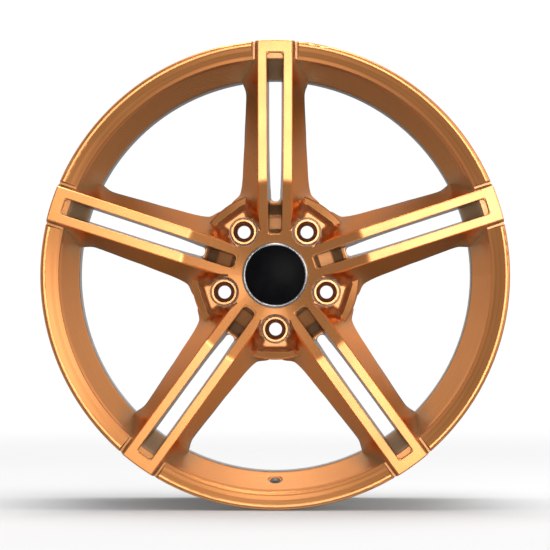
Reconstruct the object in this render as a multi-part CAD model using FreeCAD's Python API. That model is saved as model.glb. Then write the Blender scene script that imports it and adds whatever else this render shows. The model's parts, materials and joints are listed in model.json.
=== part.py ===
import FreeCAD, Part
import math
import os

# Forged 19 x 8.5J racing wheel rim: five twin spokes, a rolled outer lip and a welded inner barrel.
#
# Frame: the wheel axis is Y and the outer face looks towards -Y. The origin is the centre of the hub
# mounting face. One spoke points up (+Z) and the valve hole is at the bottom (-Z). Millimetres.
#
# Most outlines are given as (radius, depth), where depth is measured along +Y from the front plane of
# the wheel, or as (along, across) in one spoke's own plan, along the spoke and across it.

Vector = FreeCAD.Vector
ORIGIN = Vector(0, 0, 0)
AXIS = Vector(0, 1, 0)

# Driving dimensions
SPOKE_COUNT = 5
RIM_DIAMETER = 19 * 25.4
RIM_WIDTH = 8.5 * 25.4
FLANGE_HEIGHT = 17.3
FLANGE_THICKNESS = 12.05
HUB_FACE_DEPTH = 85.0
BOLT_CIRCLE_RADIUS = 60.0
LUG_HOLE_RADIUS = 7.25
CENTRE_BORE_RADIUS = 36.3
HUB_RING_RADIUS = 38.4
HUB_RING_FIT = 0.05
CAP_RADIUS = 36.0
BARREL_WALL = 4.9

# Rim section
SEAT_RADIUS = RIM_DIAMETER / 2
OUTER_RADIUS = SEAT_RADIUS + FLANGE_HEIGHT
OVERALL_DEPTH = RIM_WIDTH + 2 * FLANGE_THICKNESS
FLANGE_FILLET = 6.5
SEAT_TAPER = math.tan(math.radians(5))
HUMP_DEPTH = 23.0
HUMP_RADIUS = SEAT_RADIUS - 0.4
WELL_INNER_RADIUS = 219.0
WELL_OUTER_RADIUS = WELL_INNER_RADIUS + BARREL_WALL
WELD_DEPTH = 58.0
CONE_TOP_RADIUS = 236.5
CONE_TOP_DEPTH = 17.5
CONE_END_DEPTH = 54.0

# Spoke face and back
FACE_BEND_RADIUS = 103.0
FACE_SLOPE = math.tan(math.radians(1.0))
DISH_SLOPE = math.tan(math.radians(17.0))
SPOKE_HALF_WIDTH = 19.1
SPOKE_BACK = [
    (216.0, 52.0), (150.0, 49.0), (118.0, 55.0), (99.0, 69.0), (95.0, 77.0), (78.0, HUB_FACE_DEPTH)]
SPOKE_BACK_HALF_WIDTHS = [
    (20.0, 44.0), (70.0, 46.0), (84.0, 46.8), (88.0, 42.2), (92.5, 39.3), (97.0, 38.2), (101.0, 37.5),
    (110.0, 36.5), (132.0, 35.4), (154.0, 34.4), (176.0, 33.4), (196.0, 32.6), (204.0, 33.0), (210.0, 35.0),
    (216.0, 37.0), (226.0, 37.6), (262.0, 37.6)]
SPOKE_EDGE_CHAMFER = 0.7
CHANNEL_HALF_WIDTH = 26.7
CHANNEL_DEPTH = 10.0
CHANNEL_DRAFT = 0.2

# Slot down the middle of each spoke
SLOT_INNER_END = 45.4
SLOT_OUTER_END = 245.4
SLOT_THROUGH_END = 80.0
SLOT_HALF_WIDTH = 9.4
SLOT_TAPER = 0.005
SLOT_DRAFT = 0.045
SLOT_EDGE_CHAMFER = 0.6
SLOT_END_ROUND = 4.0
CHAMFER_REACH = 3.0

# Hub, lug pockets and seats
HUB_DISC_RADIUS = 52.0
WEB_RADIUS = 93.6
WEB_TOP_DEPTH = 40.0
POCKET_FLOOR_DEPTH = 52.0
WEB_RIM_DROP = 3.0
POCKET_OUTER_END = 85.0
POCKET_HALF_WIDTH = 22.5
POCKET_INSET = 4.5
POCKET_FILLET = 4.0
POCKET_CORNER = 5.0
LUG_WELL_RADIUS = 16.5
LUG_GROOVE_RADIUS = 15.9
LUG_GROOVE_DEPTH = 58.0
SEAT_INSERT_RADIUS = 14.3
SEAT_INSERT_FRONT = 48.0
SEAT_INSERT_BACK = 72.0
SEAT_INSERT_BORE = 11.7

# Centre bore and cap
CAP_LEDGE_DEPTH = 29.0
CAP_RECESS_RADIUS = 36.3
CAP_BORE_RADIUS = 33.5
HUB_RECESS_DEPTH = 60.0


def in_section(radius, depth):
    """Point of the rim section, which lies in the XY half plane."""
    return Vector(radius, depth - HUB_FACE_DEPTH, 0)


def in_spoke(along, across, depth):
    """Point of the upright spoke: along is up, across is to the right."""
    return Vector(across, depth - HUB_FACE_DEPTH, along)


def rounded_wire(corners, place):
    """Closed wire through (a, b) or (a, b, radius) corners, each rounded to its radius."""
    points = [Vector(corner[0], corner[1], 0) for corner in corners]
    radii = [corner[2] if len(corner) > 2 else 0.0 for corner in corners]
    bends = []
    for index, point in enumerate(points):
        back = (points[index - 1] - point).normalize()
        ahead = (points[(index + 1) % len(points)] - point).normalize()
        half_angle = back.getAngle(ahead) / 2
        reach = radii[index] / math.tan(half_angle)
        bulge = radii[index] / math.sin(half_angle) - radii[index]
        middle = point + (back + ahead).normalize() * bulge if radii[index] else point
        bends.append([place(p.x, p.y) for p in (point + back * reach, middle, point + ahead * reach)])
    edges = []
    for index, (start, middle, end) in enumerate(bends):
        previous_end = bends[index - 1][2]
        if previous_end.distanceToPoint(start) > 1e-6:
            edges.append(Part.LineSegment(previous_end, start).toShape())
        if radii[index]:
            edges.append(Part.Arc(start, middle, end).toShape())
    return Part.Wire(edges)


def turned(corners):
    """Solid turned about the wheel axis from (radius, depth) corners."""
    return Part.Face(rounded_wire(corners, in_section)).revolve(ORIGIN, AXIS, 360)


def around(shape, turn=0.0):
    """The shape repeated at every spoke, turned by an extra angle in degrees."""
    copies = []
    for index in range(SPOKE_COUNT):
        copy = shape.copy()
        copy.rotate(ORIGIN, AXIS, index * 360.0 / SPOKE_COUNT + turn)
        copies.append(copy)
    return copies


def face_depth(radius):
    """Depth of the spoke face: almost flat outside the bend, dished inside it."""
    bend_depth = (OUTER_RADIUS - FACE_BEND_RADIUS) * FACE_SLOPE
    if radius >= FACE_BEND_RADIUS:
        return (OUTER_RADIUS - radius) * FACE_SLOPE
    return bend_depth + (FACE_BEND_RADIUS - radius) * DISH_SLOPE


def back_depth(radius):
    """Depth of the back of the spokes, read off its outline."""
    if radius >= SPOKE_BACK[0][0]:
        return SPOKE_BACK[0][1]
    for (outer, outer_depth), (inner, inner_depth) in zip(SPOKE_BACK, SPOKE_BACK[1:]):
        if radius >= inner:
            share = (outer - radius) / (outer - inner)
            return outer_depth + share * (inner_depth - outer_depth)
    return HUB_FACE_DEPTH


def tyre_side(rear=False):
    """Flange, bead seat, hump and well wall on the tyre side, from the flange tip to the well."""
    taper_run = FLANGE_FILLET + 0.6
    corners = [
        (OUTER_RADIUS - 0.2, FLANGE_THICKNESS, 3.5),
        (SEAT_RADIUS, FLANGE_THICKNESS, FLANGE_FILLET),
        (SEAT_RADIUS - taper_run * SEAT_TAPER, FLANGE_THICKNESS + taper_run),
        (SEAT_RADIUS - 18.0 * SEAT_TAPER, FLANGE_THICKNESS + 18.0, 4.0),
        (HUMP_RADIUS, FLANGE_THICKNESS + HUMP_DEPTH, 4.0)]
    if rear:
        return [(corner[0], OVERALL_DEPTH - corner[1]) + tuple(corner[2:]) for corner in corners]
    return corners


def make_front_lip():
    """Rolled outer lip and the cone that runs back to the drop centre."""
    tyre = tyre_side() + [(237.0, 40.0, 5.0), (WELL_OUTER_RADIUS, 51.5, 6.0)]
    face = [
        (WELL_OUTER_RADIUS, WELD_DEPTH - 3.5),
        (WELL_INNER_RADIUS, WELD_DEPTH - 1.0),
        (WELL_INNER_RADIUS, CONE_END_DEPTH, 12.0),
        (CONE_TOP_RADIUS, CONE_TOP_DEPTH, 1.0),
        (238.4, 10.8, 2.0),
        (242.6, 7.6, 6.0),
        (247.6, 6.0, 8.0),
        (252.6, 2.9, 4.0),
        (OUTER_RADIUS - 0.2, 2.6, 3.2)]
    lip = turned(tyre + face)
    rings = []
    for depth in (0.0, CHANNEL_DEPTH):
        half_width = CHANNEL_HALF_WIDTH - depth * CHANNEL_DRAFT
        corners = ((CONE_TOP_RADIUS, 1), (270.0, 1), (270.0, -1), (CONE_TOP_RADIUS, -1))
        rings.append([in_spoke(along, side * half_width, depth) for along, side in corners])
    return lip.cut(around(frustum(rings[0], rings[1])))


def make_spoke():
    """One spoke: side walls ruled from the straight face edge to the wider, curved back edge."""
    stations = []
    for along, back_half_width in SPOKE_BACK_HALF_WIDTHS:
        face = face_depth(along)
        back = back_depth(math.hypot(along, back_half_width))
        stations.append((along, face, (back_half_width - SPOKE_HALF_WIDTH) / (back - face)))
    outlines = []
    for depth in (-4.0, 95.0):
        sides = []
        for side in (-1, 1):
            points = [
                in_spoke(along, side * (SPOKE_HALF_WIDTH + (depth - face) * slope), depth)
                for along, face, slope in stations]
            curve = Part.BSplineCurve()
            curve.interpolate(Points=points, Parameters=[along for along, face, slope in stations])
            sides.append(curve.toShape())
        left, right = sides
        inner_end = Part.LineSegment(left.firstVertex().Point, right.firstVertex().Point).toShape()
        outer_end = Part.LineSegment(right.lastVertex().Point, left.lastVertex().Point).toShape()
        outlines.append(Part.Wire([inner_end, right, outer_end, left]))
    return Part.makeLoft(outlines, True, True)


def frustum(front, back, round_ends=()):
    """Flat-sided solid between two four-cornered rings of points; round_ends is (corner, radius) pairs."""
    rings = (front, back)
    faces = [Part.Face(Part.makePolygon(ring + ring[:1])) for ring in rings]
    for index in range(4):
        after = (index + 1) % 4
        side = [rings[0][index], rings[0][after], rings[1][after], rings[1][index], rings[0][index]]
        faces.append(Part.Face(Part.makePolygon(side)))
    solid = Part.Solid(Part.Shell(faces))
    for corner, radius in round_ends:
        start, end = rings[0][corner], rings[1][corner]
        middle = Part.Vertex((start + end) * 0.5)
        shortest = 0.8 * start.distanceToPoint(end)
        edges = [edge for edge in solid.Edges
                 if edge.distToShape(middle)[0] < 1e-3 and edge.Length > shortest]
        solid = solid.makeFillet(radius, edges)
    return solid


def slot_half_width(along, depth):
    """Half width of the slot, which narrows towards the hub and towards the back."""
    return SLOT_HALF_WIDTH - (SLOT_OUTER_END - along) * SLOT_TAPER - depth * SLOT_DRAFT


def slot_ring(inner_end, outer_end, depth_at, spread):
    """Four corners round the slot at a depth that may follow the face, spread outwards by a margin."""
    ring = []
    for along, side in ((inner_end, 1), (outer_end, 1), (outer_end, -1), (inner_end, -1)):
        depth = depth_at(along)
        ring.append(in_spoke(along, side * (slot_half_width(along, depth) + spread), depth))
    return ring


def slot_prism(inner_end, inner_radius, back_depth):
    """Drafted slot from the face to a depth, with rounded ends."""
    rings = []
    for depth in (-2.0, back_depth):
        shrink = depth * SLOT_DRAFT
        rings.append(slot_ring(inner_end + shrink, SLOT_OUTER_END - shrink, lambda along: depth, 0.0))
    ends = [(0, inner_radius), (1, SLOT_END_ROUND), (2, SLOT_END_ROUND), (3, inner_radius)]
    return frustum(rings[0], rings[1], ends)


def make_slot_chamfers():
    """Bevel round the slot's edge on the outer face and, nearer the hub, on the dished face."""
    bend_depth = face_depth(FACE_BEND_RADIUS)
    bevels = []
    for inner, outer, slope, rounded in (
            (FACE_BEND_RADIUS, SLOT_OUTER_END, FACE_SLOPE, (1, 2)),
            (SLOT_INNER_END, FACE_BEND_RADIUS, DISH_SLOPE, (0, 3))):
        rings = []
        for rise in (CHAMFER_REACH, -SLOT_EDGE_CHAMFER):
            spread = rise + SLOT_EDGE_CHAMFER
            start = inner - spread if 0 in rounded else inner
            end = outer + spread if 1 in rounded else outer
            rings.append(slot_ring(
                start, end, lambda along: bend_depth + (FACE_BEND_RADIUS - along) * slope - rise, spread))
        bevels.append(frustum(rings[0], rings[1], [(corner, SLOT_END_ROUND) for corner in rounded]))
    return bevels


def make_edge_chamfers():
    """Long blocks that bevel both face edges of a spoke, one pair each side of the bend."""
    bend_depth = face_depth(FACE_BEND_RADIUS)
    blocks = []
    for inner, outer, slope in (
            (FACE_BEND_RADIUS, OUTER_RADIUS + 5.0, FACE_SLOPE), (25.0, FACE_BEND_RADIUS, DISH_SLOPE)):
        for side in (-1, 1):
            ring_pair = []
            for along in (inner, outer):
                depth = bend_depth + (FACE_BEND_RADIUS - along) * slope
                ring_pair.append([
                    in_spoke(along, side * (SPOKE_HALF_WIDTH + across), depth + down)
                    for across, down in (
                        (-SPOKE_EDGE_CHAMFER - CHAMFER_REACH, -CHAMFER_REACH),
                        (CHAMFER_REACH, SPOKE_EDGE_CHAMFER + CHAMFER_REACH),
                        (2 * CHAMFER_REACH, 0.0),
                        (0.0, -2 * CHAMFER_REACH))])
            blocks.append(frustum(ring_pair[0], ring_pair[1]))
    return blocks


def make_slot_cutter():
    """Slot down a spoke: a blind ramped groove at the hub end, then right through to the lip."""
    ramp = rounded_wire(
        [(40.0, -5.0), (40.0, 25.0), (SLOT_INNER_END, 25.0, 2.0), (51.0, 36.0, 5.0), (67.0, 42.0, 12.0),
         (79.0, 60.0, 5.0), (105.0, 60.0), (105.0, -5.0)],
        lambda along, depth: in_spoke(along, -15.0, depth))
    blind = slot_prism(SLOT_INNER_END, 5.0, 62.0).common(Part.Face(ramp).extrude(Vector(30, 0, 0)))
    return blind.fuse(slot_prism(SLOT_THROUGH_END, 4.2, 88.0)).fuse(make_slot_chamfers()).removeSplitter()


def make_pocket_cutter():
    """Fan-shaped pocket outside a lug seat, with sloping walls, in plan at the top spoke's place."""
    inner_end = 50.0
    flare = (POCKET_HALF_WIDTH - 13.5) / (POCKET_OUTER_END - 58.0)
    lean = math.sqrt(1 + flare * flare)
    rings = []
    for depth in (26.0, POCKET_FLOOR_DEPTH):
        inset = POCKET_INSET * (depth - WEB_TOP_DEPTH) / (POCKET_FLOOR_DEPTH - WEB_TOP_DEPTH)
        outer_end = POCKET_OUTER_END - inset
        widths = [POCKET_HALF_WIDTH - (POCKET_OUTER_END - along) * flare - inset * lean
                  for along in (inner_end, outer_end)]
        rings.append([
            in_spoke(inner_end, widths[0], depth), in_spoke(outer_end, widths[1], depth),
            in_spoke(outer_end, -widths[1], depth), in_spoke(inner_end, -widths[0], depth)])
    pocket = frustum(rings[0], rings[1], [(1, POCKET_CORNER), (2, POCKET_CORNER)])
    floor_edges = [edge for edge in pocket.Edges
                   if edge.BoundBox.YMin > POCKET_FLOOR_DEPTH - HUB_FACE_DEPTH - 1e-3
                   and edge.BoundBox.ZMax > inner_end + 1.0]
    return pocket.makeFillet(POCKET_FILLET, floor_edges)


def lug_disc(radius, front_depth, back_depth, front_radius=None):
    """Cylinder or cone on the bolt circle at the top spoke's place."""
    start = in_spoke(BOLT_CIRCLE_RADIUS, 0, front_depth)
    height = back_depth - front_depth
    if front_radius:
        return Part.makeCone(front_radius, radius, height, start, AXIS)
    return Part.makeCylinder(radius, height, start, AXIS)


def make_valve_cutter():
    """Valve hole and its spot face, drilled at 45 degrees through the cone at the bottom."""
    direction = Vector(0, 1, -1).normalize()
    on_cone = in_spoke(-226.6, 0, 38.2)
    spot = Part.makeCylinder(8.1, 20.0, on_cone - direction * 17.5, direction)
    hole = Part.makeCylinder(5.65, 40.0, on_cone - direction * 5.0, direction)
    return spot.fuse(hole)


def make_star():
    """Hub and twin spokes: one 72 degree sector, repeated round the axis."""
    envelope = turned(
        [(0.0, face_depth(0.0)), (FACE_BEND_RADIUS, face_depth(FACE_BEND_RADIUS), 25.0),
         (OUTER_RADIUS, 0.0, 1.2), (OUTER_RADIUS, 8.5), (250.0, 11.0), (242.0, 14.0), (236.0, 30.0),
         (223.5, 50.0), (220.0, 52.3)]
        + [(radius, depth, 4.0 if radius < 100 else 30.0) for radius, depth in SPOKE_BACK]
        + [(0.0, HUB_FACE_DEPTH)])
    core = turned(
        [(0.0, 0.0), (HUB_DISC_RADIUS, 0.0), (HUB_DISC_RADIUS, WEB_TOP_DEPTH),
         (POCKET_OUTER_END - 0.5, WEB_TOP_DEPTH, 2.0), (WEB_RADIUS, WEB_TOP_DEPTH + WEB_RIM_DROP, 2.5),
         (WEB_RADIUS + 1.2, 90.0), (0.0, 90.0)])
    reach = 1.5 * OUTER_RADIUS
    half_width = reach * math.tan(math.pi / SPOKE_COUNT)
    corners = [in_spoke(along, across, -10.0)
               for along, across in ((0.0, 0.0), (reach, -half_width), (reach, half_width))]
    wedge = Part.Face(Part.makePolygon(corners + corners[:1])).extrude(AXIS * 120.0)
    sector = make_spoke().common(envelope).cut(make_edge_chamfers()).common(wedge)
    sector = sector.fuse(core.common(envelope).common(wedge)).cut(make_slot_cutter())
    sectors = around(sector)
    star = sectors[0]
    for other in sectors[1:]:
        star = star.fuse(other)
    return star


def make_face_forging():
    """Hub, twin spokes and outer lip, forged and machined in one piece."""
    half_turn = 180.0 / SPOKE_COUNT
    lug_well = lug_disc(LUG_WELL_RADIUS, -5.0, POCKET_FLOOR_DEPTH, LUG_WELL_RADIUS + 0.9)
    cutters = around(lug_well, half_turn)
    cutters += around(make_pocket_cutter(), half_turn)
    cutters += around(lug_disc(LUG_GROOVE_RADIUS, 30.0, LUG_GROOVE_DEPTH), half_turn)
    cutters += around(lug_disc(SEAT_INSERT_RADIUS, 30.0, SEAT_INSERT_BACK), half_turn)
    cutters += around(lug_disc(LUG_HOLE_RADIUS, 30.0, 100.0), half_turn)
    cutters.append(turned(
        [(0.0, -5.0), (CAP_RECESS_RADIUS, -5.0), (CAP_RECESS_RADIUS, CAP_LEDGE_DEPTH),
         (CAP_BORE_RADIUS, CAP_LEDGE_DEPTH), (CAP_BORE_RADIUS, HUB_RECESS_DEPTH),
         (HUB_RING_RADIUS + HUB_RING_FIT, HUB_RECESS_DEPTH),
         (HUB_RING_RADIUS + HUB_RING_FIT, 100.0), (0.0, 100.0)]))
    star = make_star().removeSplitter()
    for cutter in cutters:
        star = star.cut(cutter)
    return make_front_lip().fuse(star).cut(make_valve_cutter()).removeSplitter()


def make_inner_barrel():
    """Spun drop centre, rear bead seat and rear flange."""
    rear_tyre = tyre_side(rear=True)
    return turned(
        [(WELL_INNER_RADIUS, WELD_DEPTH + 1.0), (WELL_OUTER_RADIUS, WELD_DEPTH + 3.5),
         (WELL_OUTER_RADIUS, 98.0, 20.0), (238.4, 150.0, 30.0), (238.4, 198.0, 8.0)]
        + list(reversed(rear_tyre))
        + [(OUTER_RADIUS - 0.2, OVERALL_DEPTH - 2.0, 3.4), (252.0, OVERALL_DEPTH, 3.0),
           (244.0, OVERALL_DEPTH - 5.5, 10.0), (234.8, OVERALL_DEPTH - 22.0, 20.0),
           (233.4, 152.0, 30.0), (WELL_INNER_RADIUS, 100.0, 20.0)])


def make_weld_seam():
    """Weld that fills the V between the lip and the inner barrel, with a low crown on each side."""
    crown = 0.7
    return turned(
        [(WELL_INNER_RADIUS, WELD_DEPTH - 1.0), (WELL_OUTER_RADIUS, WELD_DEPTH - 3.5),
         (WELL_OUTER_RADIUS + crown, WELD_DEPTH - 2.4, 1.0),
         (WELL_OUTER_RADIUS + crown, WELD_DEPTH + 2.4, 1.0),
         (WELL_OUTER_RADIUS, WELD_DEPTH + 3.5), (WELL_INNER_RADIUS, WELD_DEPTH + 1.0),
         (WELL_INNER_RADIUS - crown, WELD_DEPTH + 0.5, 0.3),
         (WELL_INNER_RADIUS - crown, WELD_DEPTH - 0.5, 0.3)])


def make_seat_insert():
    """Steel lug seat: a ring with a 60 degree cone, pressed into its pocket."""
    cone_front = SEAT_INSERT_BACK - 12.0
    cone_length = (SEAT_INSERT_BORE - LUG_HOLE_RADIUS) / math.tan(math.radians(30))
    body = lug_disc(SEAT_INSERT_RADIUS, SEAT_INSERT_FRONT, SEAT_INSERT_BACK)
    top_edge = [edge for edge in body.Edges if edge.BoundBox.YLength < 1e-6
                and edge.BoundBox.YMax < SEAT_INSERT_FRONT - HUB_FACE_DEPTH + 0.1]
    body = body.makeChamfer(0.6, top_edge)
    body = body.cut(lug_disc(SEAT_INSERT_BORE, 0.0, cone_front))
    body = body.cut(lug_disc(LUG_HOLE_RADIUS, cone_front, cone_front + cone_length, SEAT_INSERT_BORE))
    return body.cut(lug_disc(LUG_HOLE_RADIUS, 0.0, 100.0))


def make_hub_ring():
    """Centring ring between the rear of the centre bore and the hub spigot."""
    return turned(
        [(CENTRE_BORE_RADIUS, 66.0), (HUB_RING_RADIUS, 66.0, 0.4), (HUB_RING_RADIUS, HUB_FACE_DEPTH - 0.5),
         (CENTRE_BORE_RADIUS + 0.8, HUB_FACE_DEPTH - 0.5), (CENTRE_BORE_RADIUS, HUB_FACE_DEPTH - 1.3)])


def make_cap_dome():
    """Gloss black cap face, slightly domed."""
    edge = Vector(32.9, 22.6 - HUB_FACE_DEPTH, 0)
    middle = Vector(16.6, 20.75 - HUB_FACE_DEPTH, 0)
    top = in_section(0.0, 20.1)
    outline = [
        Part.Arc(top, middle, edge).toShape(),
        Part.LineSegment(edge, in_section(32.9, 24.5)).toShape(),
        Part.LineSegment(in_section(32.9, 24.5), in_section(0.0, 24.5)).toShape(),
        Part.LineSegment(in_section(0.0, 24.5), top).toShape()]
    return Part.Face(Part.Wire(outline)).revolve(ORIGIN, AXIS, 360)


def make_cap_trim_ring():
    """Bright ring round the cap face."""
    return turned(
        [(32.95, 25.5), (32.95, 22.0, 0.6), (34.0, 21.0, 0.8), (CAP_RADIUS, 21.6, 1.0), (CAP_RADIUS, 25.5)])


def make_cap_bonding_pad():
    """Adhesive foam pad between the cap face and its carrier."""
    return turned([(0.0, 24.5), (31.0, 24.5), (31.0, 25.5), (0.0, 25.5)])


def make_cap_carrier():
    """Moulded cap plate with eight clip legs."""
    plate = turned([(0.0, 25.5), (CAP_RADIUS, 25.5), (CAP_RADIUS, 28.7), (0.0, 28.7)])
    crown = turned(
        [(30.5, 28.0), (32.3, 28.0), (32.3, 41.0), (33.2, 42.2), (33.2, 43.6), (32.2, 46.5), (30.5, 46.5)])
    gap = Part.makeBox(12.0, 30.0, 100.0, Vector(-6.0, 29.5 - HUB_FACE_DEPTH, -50.0))
    for index in range(4):
        cutter = gap.copy()
        cutter.rotate(ORIGIN, AXIS, 22.5 + 45.0 * index)
        crown = crown.cut(cutter)
    return plate.fuse(crown).removeSplitter()


def make_cap_spring_ring():
    """Round wire ring that spreads the clip legs."""
    return Part.makeTorus(29.6, 0.9, Vector(0, 38.0 - HUB_FACE_DEPTH, 0), AXIS)


def export(name, shape):
    """Write one sub-part, after a check that it is sound."""
    if not shape.isValid() or shape.Volume <= 0:
        raise ValueError(name + " is not a valid solid")
    solids = shape.Solids
    print(name, "solids", len(solids), "volume cm3", round(shape.Volume / 1000.0, 1))
    shape.exportStep("parts/" + name + ".step")


def main():
    """Build and write every sub-part."""
    os.makedirs("parts", exist_ok=True)
    export("face_forging", make_face_forging())
    export("inner_barrel", make_inner_barrel())
    export("weld_seam", make_weld_seam())
    for number, insert in enumerate(around(make_seat_insert(), 180.0 / SPOKE_COUNT), start=1):
        export("lug_seat_" + str(number), insert)
    export("hub_ring", make_hub_ring())
    export("cap_dome", make_cap_dome())
    export("cap_trim_ring", make_cap_trim_ring())
    export("cap_bonding_pad", make_cap_bonding_pad())
    export("cap_carrier", make_cap_carrier())
    export("cap_spring_ring", make_cap_spring_ring())


if __name__ == "__main__":
    main()
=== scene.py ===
"""Looks for the forged wheel rim: a material for every slot, a rippled weld bead, camera, light and floor.

Everything is in metres in the CAD frame: the wheel's axis is Y, its outer face looks towards -Y, one spoke
points up (+Z) and the origin is the centre of the hub mounting face.
"""
import json
import math

import bpy
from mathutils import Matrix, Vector


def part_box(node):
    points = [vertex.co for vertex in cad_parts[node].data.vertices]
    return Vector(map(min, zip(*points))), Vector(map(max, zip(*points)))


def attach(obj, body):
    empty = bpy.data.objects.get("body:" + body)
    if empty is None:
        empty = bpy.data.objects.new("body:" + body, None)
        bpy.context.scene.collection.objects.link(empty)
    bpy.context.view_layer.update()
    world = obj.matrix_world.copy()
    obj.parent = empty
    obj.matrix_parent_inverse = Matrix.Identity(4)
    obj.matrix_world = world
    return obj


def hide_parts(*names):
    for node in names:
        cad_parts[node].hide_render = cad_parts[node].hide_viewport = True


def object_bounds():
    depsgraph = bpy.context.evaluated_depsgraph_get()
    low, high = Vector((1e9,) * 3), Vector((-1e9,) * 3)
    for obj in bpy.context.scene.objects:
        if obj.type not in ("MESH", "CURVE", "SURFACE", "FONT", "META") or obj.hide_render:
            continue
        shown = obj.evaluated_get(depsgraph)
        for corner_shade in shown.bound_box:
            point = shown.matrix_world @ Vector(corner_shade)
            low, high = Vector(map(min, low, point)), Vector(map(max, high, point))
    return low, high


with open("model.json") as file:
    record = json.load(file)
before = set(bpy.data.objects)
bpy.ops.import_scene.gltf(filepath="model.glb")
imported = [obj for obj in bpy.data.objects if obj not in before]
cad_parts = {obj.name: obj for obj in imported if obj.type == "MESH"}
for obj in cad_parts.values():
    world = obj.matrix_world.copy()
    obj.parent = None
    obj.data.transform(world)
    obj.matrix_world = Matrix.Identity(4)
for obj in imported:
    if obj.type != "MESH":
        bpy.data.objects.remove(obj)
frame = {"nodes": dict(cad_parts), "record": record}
cad_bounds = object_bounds()

# Places on the wheel. A pair is the span over which one look gives way to the next.
SPOKE_COUNT = 5
SPOKE_EDGE = (0.0235, 0.0255)
HUB_EDGE = (0.088, 0.102)
CONE_EDGE = (0.212, 0.219)
SEAT_TOP_EDGE = (-0.0362, -0.0350)

# The gold ends at a depth that is the hub's rear face near the axis and further forward at the spokes.
PAINT_END_RADIUS = (0.092, 0.150)
PAINT_END_DEPTH = (0.000, -0.0378)
PAINT_END_WAVER = 0.002
PAINT_END_FADE = 0.0012
LIP_EDGE = (0.2150, 0.2165)

# The tyre side of the lip is bare from just behind the flange. Its skin leans in towards the rear.
TYRE_SIDE_RADIUS = (0.2384, 0.2390)
TYRE_SIDE_DEPTH = (-0.0740, -0.0730)
SKIN_LEAN_START = -0.067
SKIN_LEAN = 0.49

# Which way a surface looks, as the depth part of its normal
FRONT_FACING = (-0.90, -0.35)
REAR_FACING = (0.30, 0.60)

# Edges look rounded by this radius.
EDGE_ROUND = 0.0006

# Painted shade: corners and crevices get a darker, browner gold, and corners are also rougher and less
# metallic.
# Corners and crevices: how near the walls are, and how open the place is (1 is fully open).
CORNER_REACH = 0.026
CORNER_OPENNESS = (0.50, 1.04)
CREVICE_OPENNESS = (0.05, 0.14)
CORNER_LOSS_ON_FACES = 0.70
CORNER_DULLING = 0.14
CORNER_METAL_LOSS = 0.55
BARE_DULLING = 0.10
SHADER_SAMPLES = 4

# Weld bead
BARREL_WALL = 0.0049
BEAD_CROWN = 0.0007
ROOT_HALF_WIDTH = 0.0010
CROWN_STEPS = 4
ROOT_STEPS = 2
RIPPLE_PITCH = 0.0026
RIPPLE_HEIGHT = 0.00025
RIPPLE_BOW = 0.45
RIPPLE_STEPS = 5

# Colours, linear
# Painted light and shade: front faces get a lighter gold than side walls; the pale side gold is for the hub
# and lip walls.
GOLD_FACE = (0.94, 0.375, 0.118)
GOLD_FACE_DEEP = (0.91, 0.345, 0.100)
GOLD_SIDE = (0.88, 0.335, 0.080)
GOLD_SIDE_DEEP = (0.83, 0.298, 0.065)
GOLD_SIDE_PALE = (0.88, 0.38, 0.150)
GOLD_SIDE_PALE_DEEP = (0.83, 0.34, 0.120)
# Painted shade: the colours that corners and crevices are darkened to
GOLD_CORNER_SHADE = (0.46, 0.300, 0.150)
GOLD_CREVICE_SHADE = (0.10, 0.055, 0.032)
GOLD_GRAZING = (0.95, 0.50, 0.20)
SEAT_GOLD = (0.92, 0.46, 0.20)
SEAT_GOLD_DEEP = (0.84, 0.36, 0.12)
# Painted light: the seat's bore gets a paler, pinker colour than the seat to lift its shade.
SEAT_BORE = (0.85, 0.48, 0.34)
BARE_METAL = (0.50, 0.48, 0.46)
BARE_METAL_DARK = (0.36, 0.345, 0.33)
METAL_STAIN = (0.42, 0.40, 0.37)
WELD_METAL = (0.50, 0.49, 0.48)
WELD_HEAT_TINT = (0.36, 0.33, 0.30)
CAP_BLACK = (0.0035, 0.0035, 0.0042)
CAP_BLACK_SMUDGED = (0.0060, 0.0060, 0.0070)
CHROME = (0.54, 0.54, 0.54)
CHROME_WIPED = (0.44, 0.44, 0.44)
RING_PLASTIC = ((0.030, 0.030, 0.034), (0.055, 0.055, 0.060))
CAP_PLASTIC = ((0.016, 0.016, 0.017), (0.030, 0.030, 0.031))
FOAM_CELL = (0.03, 0.03, 0.03)
FOAM_WALL = (0.10, 0.10, 0.10)
SPRING_STEEL = (0.56, 0.56, 0.57)
SPRING_STEEL_DARK = (0.34, 0.34, 0.35)
FLOOR_COLOURS = ((0.78, 0.78, 0.78), (0.81, 0.81, 0.81))
WHITE = (1.0, 1.0, 1.0)

# The part of a noise's range that most of its values lie in
NOISE_SPAN = (0.3, 0.7)

# Stage and light
FLOOR_RADIUS = 14.0
FLOOR_GAP = 0.0004
FLOOR_FADE = (0.45, 2.4)
BACKDROP_RADIUS = 15.0
BACKDROP_GLOW = 1.02
SURROUND_BASE = 0.12
SURROUND_BAND = 0.42
SURROUND_BAND_SHARPNESS = 4.0
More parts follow.
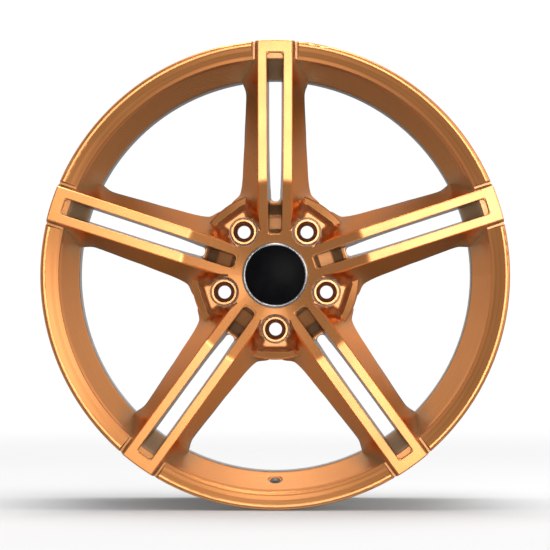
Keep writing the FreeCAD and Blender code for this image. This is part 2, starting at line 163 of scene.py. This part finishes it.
# Each lobe of the surround: the direction it shines from, its sharpness and its strength
LOBES = [
    # front, and front right
    ((0.0, -1.0, 0.0), 2.0, 0.24),
    ((0.55, -0.83, 0.18), 60.0, 1.3),
    ((0.82, -0.50, 0.27), 14.0, 1.7),
    # above and in front, above, above and behind, below
    ((0.0, -0.80, 0.58), 130.0, 3.0),
    ((0.0, 0.15, 1.0), 8.0, 0.9),
    ((0.0, 0.63, 0.78), 10.0, 0.9),
    ((0.0, -0.20, -1.0), 14.0, 0.7),
    # wide to each side behind
    ((0.74, 0.63, 0.24), 9.0, 0.42),
    ((-0.74, 0.63, 0.24), 9.0, 0.42),
    # behind, a little to each side, high, level and low
    ((0.45, 0.83, 0.33), 30.0, 0.62),
    ((-0.45, 0.83, 0.33), 30.0, 0.40),
    ((0.56, 0.83, 0.00), 40.0, 0.15),
    ((0.45, 0.83, -0.33), 30.0, 0.28),
    ((-0.45, 0.83, -0.33), 30.0, 0.25),
    # straight behind
    ((0.0, 1.0, 0.05), 60.0, 0.90),
]

# Camera
CAMERA_PLACE = (0.03, -3.5, -0.03)
CAMERA_SENSOR_MM = 36.0
RIM_SHARE_OF_FRAME = 0.856


# Node graphs ---------------------------------------------------------------------------------------------

class Graph:
    """One node tree, with a short call for each kind of node that is used often."""

    def __init__(self, tree):
        self.tree = tree
        tree.nodes.clear()

    def node(self, kind, inputs=None, **settings):
        made = self.tree.nodes.new(kind)
        for name, value in settings.items():
            setattr(made, name, value)
        for name, value in (inputs or {}).items():
            self.put(made.inputs[name], value)
        return made

    def put(self, socket, value):
        if isinstance(value, bpy.types.NodeSocket):
            self.tree.links.new(value, socket)
        elif socket.type == "RGBA":
            socket.default_value = (*value, 1.0)
        else:
            socket.default_value = value

    def output(self, shader, kind="ShaderNodeOutputMaterial"):
        """Make this shader node the surface of the tree."""
        self.tree.links.new(shader.outputs[0], self.node(kind).inputs["Surface"])

    def math(self, operation, first, second=0.0):
        return self.node("ShaderNodeMath", {0: first, 1: second}, operation=operation).outputs[0]

    def add(self, first, second):
        return self.math("ADD", first, second)

    def subtract(self, first, second):
        return self.math("SUBTRACT", first, second)

    def multiply(self, first, second):
        return self.math("MULTIPLY", first, second)

    def length(self, first, second):
        """Length of the line whose two parts are given."""
        return self.math("SQRT", self.add(self.multiply(first, first), self.multiply(second, second)))

    def ramp(self, value, low, high, to_low=0.0, to_high=1.0):
        """Smooth step from to_low at low to to_high at high."""
        made = self.node(
            "ShaderNodeMapRange",
            {"Value": value, "From Min": low, "From Max": high, "To Min": to_low, "To Max": to_high},
            interpolation_type="SMOOTHSTEP")
        return made.outputs["Result"]

    def mix(self, share, first, second):
        made = self.node("ShaderNodeMix", data_type="RGBA")
        for socket, value in ((made.inputs[0], share), (made.inputs[6], first), (made.inputs[7], second)):
            self.put(socket, value)
        return made.outputs[2]

    def vector(self, x, y, z):
        return self.node("ShaderNodeCombineXYZ", {"X": x, "Y": y, "Z": z}).outputs[0]

    def parts(self, vector):
        return self.node("ShaderNodeSeparateXYZ", {"Vector": vector}).outputs

    def position(self):
        """Place in object space."""
        return self.node("ShaderNodeTexCoord").outputs["Object"]

    def noise(self, place, scale=1.0, detail=2.0, roughness=0.5):
        made = self.node(
            "ShaderNodeTexNoise",
            {"Vector": place, "Scale": scale, "Detail": detail, "Roughness": roughness})
        return made.outputs["Fac"]

    def bump(self, height, distance, strength=1.0, normal=None):
        inputs = {"Height": height, "Distance": distance, "Strength": strength}
        if normal:
            inputs["Normal"] = normal
        return self.node("ShaderNodeBump", inputs).outputs[0]


def new_material(name):
    """Material with an empty graph."""
    material = bpy.data.materials.new(name)
    material.use_nodes = True
    return material, Graph(material.node_tree)


def surface_material(slot, maker, constants=None):
    """Material named after a slot. The maker builds what is linked, and constants are set on the shader."""
    material, graph = new_material(slot)
    shader = graph.node("ShaderNodeBsdfPrincipled", constants)
    for name, value in maker(graph).items():
        graph.put(shader.inputs[name], value)
    graph.output(shader)
    return material


def wheel_places(graph):
    """Place on the wheel: depth, radius, angle, and the place along and across the nearest spoke."""
    position = graph.position()
    parts = graph.parts(position)
    x, depth, z = parts["X"], parts["Y"], parts["Z"]
    radius = graph.length(x, z)
    angle = graph.math("ARCTAN2", x, z)
    step = 2 * math.pi / SPOKE_COUNT
    nearest = graph.math("ROUND", graph.math("DIVIDE", angle, step))
    folded = graph.subtract(angle, graph.multiply(nearest, step))
    along = graph.multiply(radius, graph.math("COSINE", folded))
    across = graph.multiply(radius, graph.math("SINE", folded))
    return {"position": position, "depth": depth, "radius": radius, "angle": angle,
            "nearest": nearest, "along": along, "across": across}


def circular_streaks(graph, places, fineness, drift=3.0):
    """Turning marks: fine rings that follow the radius and the depth, and drift a little round the wheel."""
    place = graph.vector(
        graph.multiply(places["radius"], fineness),
        graph.multiply(places["depth"], fineness),
        graph.multiply(graph.math("SINE", places["angle"]), drift))
    return graph.noise(place, detail=3.0, roughness=0.6)


def spoke_streaks(graph, places, fineness, length_scale=9.0, shift_per_spoke=7.3):
    """Brush marks that run along each spoke, with their own pattern on every spoke."""
    place = graph.vector(
        graph.add(graph.multiply(places["along"], length_scale),
                  graph.multiply(places["nearest"], shift_per_spoke)),
        graph.multiply(places["across"], fineness),
        graph.multiply(places["depth"], fineness))
    return graph.noise(place, detail=3.0, roughness=0.6)


# Materials -----------------------------------------------------------------------------------------------

def bare_share(graph, places, normal_depth, cloud):
    """1 where the forging is bare metal: rear faces, behind the paint's end, and the lip's tyre side."""
    rear_facing = graph.ramp(normal_depth, *REAR_FACING)
    paint_end = graph.ramp(places["radius"], *PAINT_END_RADIUS, *PAINT_END_DEPTH)
    wavering_depth = graph.add(places["depth"], graph.multiply(cloud, PAINT_END_WAVER))
    past_end = graph.ramp(graph.subtract(wavering_depth, paint_end), 0.0, PAINT_END_FADE)
    within_lip = graph.ramp(places["radius"], *LIP_EDGE, 1.0, 0.0)
    behind = graph.multiply(past_end, within_lip)
    lean = graph.multiply(
        graph.math("MAXIMUM", graph.subtract(places["depth"], SKIN_LEAN_START), 0.0), SKIN_LEAN)
    tyre_side = graph.multiply(
        graph.ramp(graph.add(places["radius"], lean), *TYRE_SIDE_RADIUS),
        graph.ramp(places["depth"], *TYRE_SIDE_DEPTH))
    return graph.math("MAXIMUM", graph.math("MAXIMUM", rear_facing, behind), tyre_side)


def gold_colour(graph, places, streak, front_facing, corner_shade, crevice_shade):
    """Gold of the faces and of the side walls. Painted light and shade: side walls get a darker, deeper gold
    than front faces, standing in for the shade and reflected gold they show; they are deeper along the
    spokes than on the hub and lip, where a paler gold tames the reflected orange.
    """
    on_hub = graph.ramp(places["radius"], *HUB_EDGE, 1.0, 0.0)
    on_cone = graph.ramp(places["radius"], *CONE_EDGE)
    side = graph.mix(
        graph.math("MAXIMUM", on_cone, on_hub),
        graph.mix(streak, GOLD_SIDE_DEEP, GOLD_SIDE),
        graph.mix(streak, GOLD_SIDE_PALE_DEEP, GOLD_SIDE_PALE))
    face = graph.mix(streak, GOLD_FACE_DEEP, GOLD_FACE)
    # Painted shade: corners are darkened to a browner gold, crevices to a dark brown.
    gold = graph.mix(corner_shade, graph.mix(front_facing, side, face), GOLD_CORNER_SHADE)
    return graph.mix(crevice_shade, gold, GOLD_CREVICE_SHADE)


def gold_paint(graph):
    """Gold candy paint over brushed metal, and bare turned metal where the paint ends. Shade is painted into
    its corners and crevices, and its side walls are painted a deeper gold than its faces.
    """
    places = wheel_places(graph)
    fineness = 900.0
    ring_marks = circular_streaks(graph, places, fineness)
    on_spoke = graph.ramp(graph.math("ABSOLUTE", places["across"]), *SPOKE_EDGE, 1.0, 0.0)
    brushed = graph.add(
        graph.multiply(spoke_streaks(graph, places, fineness), on_spoke),
        graph.multiply(ring_marks, graph.subtract(1.0, on_spoke)))
    cloud = graph.noise(places["position"], scale=22.0, detail=3.0, roughness=0.55)
    peel = graph.noise(places["position"], scale=520.0, detail=1.0, roughness=0.4)

    normal_depth = graph.parts(graph.node("ShaderNodeNewGeometry").outputs["Normal"])["Y"]
    front_facing = graph.ramp(normal_depth, *FRONT_FACING, 1.0, 0.0)
    bare = bare_share(graph, places, normal_depth, cloud)
    # Painted shade from ambient occlusion: enclosed corners and crevices are darkened; corners are also made
    # rougher and less metallic.
    occlusion = graph.node("ShaderNodeAmbientOcclusion", {"Distance": CORNER_REACH}, samples=SHADER_SAMPLES)
    openness = occlusion.outputs["AO"]
    corner_shade = graph.multiply(
        graph.ramp(openness, *CORNER_OPENNESS, 1.0, 0.0),
        graph.subtract(1.0, graph.multiply(front_facing, CORNER_LOSS_ON_FACES)))
    crevice_shade = graph.ramp(openness, *CREVICE_OPENNESS, 1.0, 0.0)

    streak = graph.ramp(brushed, 0.30, 0.72)
    gold = gold_colour(graph, places, streak, front_facing, corner_shade, crevice_shade)
    metal = graph.mix(graph.ramp(ring_marks, *NOISE_SPAN), BARE_METAL_DARK, BARE_METAL)
    roughness = graph.add(
        graph.ramp(brushed, *NOISE_SPAN, 0.28, 0.32), graph.ramp(cloud, *NOISE_SPAN, -0.02, 0.02))
    roughness = graph.add(roughness, graph.multiply(corner_shade, CORNER_DULLING))
    roughness = graph.add(roughness, graph.multiply(bare, BARE_DULLING))
    rounded = graph.node("ShaderNodeBevel", {"Radius": EDGE_ROUND}, samples=SHADER_SAMPLES).outputs[0]
    grain = graph.bump(brushed, distance=0.00002, strength=0.08, normal=rounded)
    corner_shade_on_gold = graph.multiply(corner_shade, graph.subtract(1.0, bare))
    return {
        "Base Color": graph.mix(bare, gold, metal),
        "Roughness": roughness,
        "Normal": graph.bump(peel, distance=0.00002, strength=0.03, normal=grain),
        "Metallic": graph.subtract(1.0, graph.multiply(corner_shade_on_gold, CORNER_METAL_LOSS))}


def seat_gold(graph):
    """Gold lug seat with a fine grain. Its bore, below the ring at the top, is painted a paler, pinker
    colour to lift the shade that fills it.
    """
    position = graph.position()
    cloud = graph.noise(position, scale=90.0)
    grain = graph.noise(position, scale=1500.0, roughness=0.6)
    in_bore = graph.ramp(graph.parts(position)["Y"], *SEAT_TOP_EDGE)
    gold = graph.mix(graph.ramp(cloud, 0.35, 0.7), SEAT_GOLD_DEEP, SEAT_GOLD)
    return {
        "Base Color": graph.mix(in_bore, gold, SEAT_BORE),
        "Roughness": graph.ramp(grain, *NOISE_SPAN, 0.24, 0.36),
        "Normal": graph.bump(grain, distance=0.00003, strength=0.5)}


def bare_aluminium(graph):
    """Turned aluminium: even rings round the barrel, with faint stains."""
    places = wheel_places(graph)
    rings = circular_streaks(graph, places, fineness=700.0)
    stains = graph.noise(places["position"], scale=14.0, detail=4.0, roughness=0.6)
    metal = graph.mix(graph.ramp(rings, *NOISE_SPAN), BARE_METAL_DARK, BARE_METAL)
    return {
        "Base Color": graph.mix(graph.ramp(stains, 0.5, 0.8, 0.0, 0.3), metal, METAL_STAIN),
        "Roughness": graph.add(
            graph.ramp(rings, *NOISE_SPAN, 0.30, 0.42), graph.ramp(stains, 0.3, 0.8, 0.0, 0.06)),
        "Normal": graph.bump(rings, distance=0.00008, strength=0.5)}


def weld_metal(graph):
    """Weld metal: duller than the barrel, with a heat tint."""
    position = graph.position()
    tint = graph.noise(position, scale=60.0, detail=3.0, roughness=0.6)
    grain = graph.noise(position, scale=900.0, roughness=0.6)
    return {
        "Base Color": graph.mix(graph.ramp(tint, 0.35, 0.7), WELD_HEAT_TINT, WELD_METAL),
        "Roughness": graph.ramp(grain, *NOISE_SPAN, 0.36, 0.50),
        "Normal": graph.bump(grain, distance=0.00008, strength=0.5)}


def cap_black(graph):
    """Gloss black cap face with a very slight orange peel."""
    position = graph.position()
    peel = graph.noise(position, scale=240.0, detail=1.0, roughness=0.4)
    smudge = graph.noise(position, scale=60.0, detail=3.0, roughness=0.6)
    return {
        "Base Color": graph.mix(graph.ramp(smudge, 0.3, 0.8), CAP_BLACK, CAP_BLACK_SMUDGED),
        "Roughness": graph.ramp(smudge, 0.35, 0.75, 0.22, 0.28),
        "Normal": graph.bump(peel, distance=0.00002, strength=0.1)}


def cap_chrome(graph):
    """Polished chrome with faint wipe marks."""
    wipe = graph.noise(graph.position(), scale=180.0, detail=3.0, roughness=0.6)
    return {
        "Base Color": graph.mix(graph.ramp(wipe, *NOISE_SPAN), CHROME_WIPED, CHROME),
        "Roughness": graph.ramp(wipe, 0.35, 0.75, 0.10, 0.20),
        "Normal": graph.bump(wipe, distance=0.00001, strength=0.3)}


def moulded_plastic(graph, colours, grain_scale, grain_depth):
    """Matt moulded plastic with a fine spark-eroded grain."""
    position = graph.position()
    grain = graph.noise(position, scale=grain_scale, roughness=0.6)
    cloud = graph.noise(position, scale=50.0)
    return {
        "Base Color": graph.mix(graph.ramp(cloud, *NOISE_SPAN), *colours),
        "Roughness": graph.ramp(grain, *NOISE_SPAN, 0.45, 0.62),
        "Normal": graph.bump(grain, distance=grain_depth, strength=0.6)}


def ring_plastic(graph):
    return moulded_plastic(graph, RING_PLASTIC, grain_scale=1100.0, grain_depth=0.00005)


def cap_plastic(graph):
    return moulded_plastic(graph, CAP_PLASTIC, grain_scale=1600.0, grain_depth=0.00004)


def cap_foam(graph):
    """Open-cell adhesive foam."""
    voronoi = graph.node("ShaderNodeTexVoronoi", {"Vector": graph.position(), "Scale": 1400.0})
    cells = voronoi.outputs["Distance"]
    edge = (0.1, 0.6)
    return {
        "Base Color": graph.mix(graph.ramp(cells, *edge), FOAM_CELL, FOAM_WALL),
        "Roughness": graph.ramp(cells, *edge, 0.75, 0.95),
        "Normal": graph.bump(cells, distance=0.0001, strength=0.8)}


def spring_steel(graph):
    """Drawn wire: marks run round the ring."""
    rings = circular_streaks(graph, wheel_places(graph), fineness=2600.0)
    return {
        "Base Color": graph.mix(graph.ramp(rings, *NOISE_SPAN), SPRING_STEEL_DARK, SPRING_STEEL),
        "Roughness": graph.ramp(rings, *NOISE_SPAN, 0.26, 0.40),
        "Normal": graph.bump(rings, distance=0.00002, strength=0.5)}


metallic = {"Metallic": 1.0}
coat = {"Coat Weight": 0.40, "Coat Roughness": 0.15}
materials = {
    "gold_paint": surface_material("gold_paint", gold_paint, {"Specular Tint": GOLD_GRAZING, **coat}),
    "seat_gold": surface_material("seat_gold", seat_gold, {**metallic, **coat}),
    "bare_aluminium": surface_material("bare_aluminium", bare_aluminium, metallic),
    "weld_metal": surface_material("weld_metal", weld_metal, metallic),
    "cap_black": surface_material("cap_black", cap_black, {"Specular IOR Level": 0.03}),
    "cap_chrome": surface_material("cap_chrome", cap_chrome, metallic),
    "ring_plastic": surface_material("ring_plastic", ring_plastic),
    "cap_plastic": surface_material("cap_plastic", cap_plastic),
    "cap_foam": surface_material("cap_foam", cap_foam),
    "spring_steel": surface_material("spring_steel", spring_steel, metallic),
}
for part in frame["record"]["subparts"]:
    part_mesh = frame["nodes"][part["node"]].data
    part_mesh.materials.clear()
    part_mesh.materials.append(materials[part["material_slot"]])


# Shapes --------------------------------------------------------------------------------------------------

def make_object(name, points, faces, material):
    """Mesh object in the scene with one material."""
    mesh = bpy.data.meshes.new(name)
    mesh.from_pydata(points, [], faces)
    mesh.materials.append(material)
    made = bpy.data.objects.new(name, mesh)
    bpy.context.scene.collection.objects.link(made)
    return made


def make_weld_bead():
    """Weld round the barrel with the ripples of its pass: a wide crown outside and a narrow root inside."""
    low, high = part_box("weld_seam")
    middle = (low[1] + high[1]) / 2
    half_width = (high[1] - low[1]) / 2
    outer = high[0] - BEAD_CROWN
    root = outer - BARREL_WALL
    ripples = round(2 * math.pi * outer / RIPPLE_PITCH)
    around = ripples * RIPPLE_STEPS
    crown_steps = range(-CROWN_STEPS, CROWN_STEPS + 1)
    root_steps = range(ROOT_STEPS, -ROOT_STEPS - 1, -1)
    section = [(step / CROWN_STEPS, half_width, outer, 1.0) for step in crown_steps]
    section += [(step / ROOT_STEPS, ROOT_HALF_WIDTH, root, -1.0) for step in root_steps]
    points = []
    for index in range(around):
        angle = 2 * math.pi * index / around
        for across, width, radius, side in section:
            dome = 1 - across * across
            travel = index / RIPPLE_STEPS + RIPPLE_BOW * dome
            ripple = RIPPLE_HEIGHT * (1 - (travel % 1.0)) * math.sqrt(dome)
            height = radius + side * ((BEAD_CROWN - RIPPLE_HEIGHT) * dome + ripple)
            points.append((height * math.sin(angle), middle + across * width, height * math.cos(angle)))
    size = len(section)
    faces = []
    for index in range(around):
        here, ahead = index * size, (index + 1) % around * size
        for step in range(size):
            after = (step + 1) % size
            faces.append((here + step, here + after, ahead + after, ahead + step))
    bead = make_object("weld_bead", points, faces, materials["weld_metal"])
    bead.data.shade_smooth()
    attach(bead, "wheel")
    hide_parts("weld_seam")


def make_floor(rings=24, segments=96):
    """White round floor that fades into the backdrop far away."""
    height = cad_bounds[0][2] - FLOOR_GAP
    points = [(0, 0, height)]
    for ring in range(1, rings + 1):
        for segment in range(segments):
            angle = 2 * math.pi * segment / segments
            distance = FLOOR_RADIUS * (ring / rings) ** 2
            points.append((distance * math.cos(angle), distance * math.sin(angle), height))
    faces = []
    for segment in range(segments):
        after = (segment + 1) % segments
        faces.append((0, 1 + segment, 1 + after))
        for ring in range(rings - 1):
            inner = 1 + ring * segments
            outer = inner + segments
            faces.append((inner + segment, outer + segment, outer + after, inner + after))

    material, graph = new_material("floor")
    position = graph.position()
    parts = graph.parts(position)
    mottle = graph.noise(position, scale=3.0, detail=3.0)
    matt = graph.node("ShaderNodeBsdfDiffuse", {"Color": graph.mix(mottle, *FLOOR_COLOURS)})
    glow = graph.node("ShaderNodeEmission", {"Color": WHITE, "Strength": BACKDROP_GLOW})
    far = graph.ramp(graph.length(parts["X"], parts["Y"]), *FLOOR_FADE)
    graph.output(graph.node("ShaderNodeMixShader", {0: far, 1: matt.outputs[0], 2: glow.outputs[0]}))
    floor = make_object("floor", points, faces, material)
    floor.visible_glossy = False


def make_backdrop(rings=24, segments=48):
    """White sphere that only the camera sees: it neither lights the object nor shows in it."""
    points = []
    for ring in range(rings + 1):
        polar = math.pi * ring / rings
        across, height = BACKDROP_RADIUS * math.sin(polar), BACKDROP_RADIUS * math.cos(polar)
        for segment in range(segments):
            angle = 2 * math.pi * segment / segments
            points.append((across * math.cos(angle), across * math.sin(angle), height))
    faces = []
    for ring in range(rings):
        for segment in range(segments):
            after = (segment + 1) % segments
            upper, lower = ring * segments, (ring + 1) * segments
            faces.append((upper + segment, upper + after, lower + after, lower + segment))
    material, graph = new_material("backdrop")
    graph.output(graph.node("ShaderNodeEmission", {"Color": WHITE, "Strength": BACKDROP_GLOW}))
    backdrop = make_object("backdrop", points, faces, material)
    for ray in ("diffuse", "glossy", "transmission", "volume_scatter", "shadow"):
        setattr(backdrop, "visible_" + ray, False)


make_weld_bead()
make_floor()
make_backdrop()


# Light and camera ----------------------------------------------------------------------------------------

def make_world():
    """Soft surround: an even base, a band of light from all sides, and lobes from a few directions."""
    world = bpy.data.worlds.new("studio")
    bpy.context.scene.world = world
    world.use_nodes = True
    graph = Graph(world.node_tree)
    direction = graph.node("ShaderNodeTexCoord").outputs["Generated"]
    depth = graph.parts(direction)["Y"]
    sideways = graph.subtract(1.0, graph.multiply(depth, depth))
    band = graph.math("POWER", sideways, SURROUND_BAND_SHARPNESS)
    level = graph.add(graph.multiply(band, SURROUND_BAND), SURROUND_BASE)
    for towards, sharpness, strength in LOBES:
        facing = graph.node(
            "ShaderNodeVectorMath", {0: direction, 1: Vector(towards).normalized()}, operation="DOT_PRODUCT")
        lobe = graph.math("POWER", graph.math("MAXIMUM", facing.outputs["Value"], 0.0), sharpness)
        level = graph.add(level, graph.multiply(lobe, strength))
    graph.output(
        graph.node("ShaderNodeBackground", {"Color": WHITE, "Strength": level}), "ShaderNodeOutputWorld")


def make_softbox(name, place, width, height, radiance):
    """Area light aimed at the origin that shows as an even panel of the given radiance."""
    data = bpy.data.lights.new(name, "AREA")
    data.shape = "RECTANGLE"
    data.size = width
    data.size_y = height
    data.energy = radiance * math.pi * width * height
    light = bpy.data.objects.new(name, data)
    light.location = place
    light.rotation_euler = (-Vector(place)).to_track_quat("-Z", "Y").to_euler()
    bpy.context.scene.collection.objects.link(light)


def make_camera():
    """Long lens almost on the wheel's axis, so that the rim fills most of the frame."""
    front = cad_bounds[0][1]
    rim_width = cad_bounds[1][0] - cad_bounds[0][0]
    place = Vector(CAMERA_PLACE)
    data = bpy.data.cameras.new("camera")
    data.sensor_width = CAMERA_SENSOR_MM
    data.lens = CAMERA_SENSOR_MM * (front - place.y) * RIM_SHARE_OF_FRAME / rim_width
    camera = bpy.data.objects.new("camera", data)
    camera.location = place
    camera.rotation_euler = (Vector((0.0, front, 0.0)) - place).to_track_quat("-Z", "Y").to_euler()
    bpy.context.scene.collection.objects.link(camera)
    bpy.context.scene.camera = camera


make_world()
make_softbox("front", place=(0.34, -3.9, 0.24), width=0.96, height=0.88, radiance=7.0)
make_softbox("overhead", place=(0.1, 0.10, 1.7), width=1.3, height=1.0, radiance=5.0)
make_camera()
bpy.context.scene.view_settings.view_transform = "Standard"

bpy.context.view_layer.update()
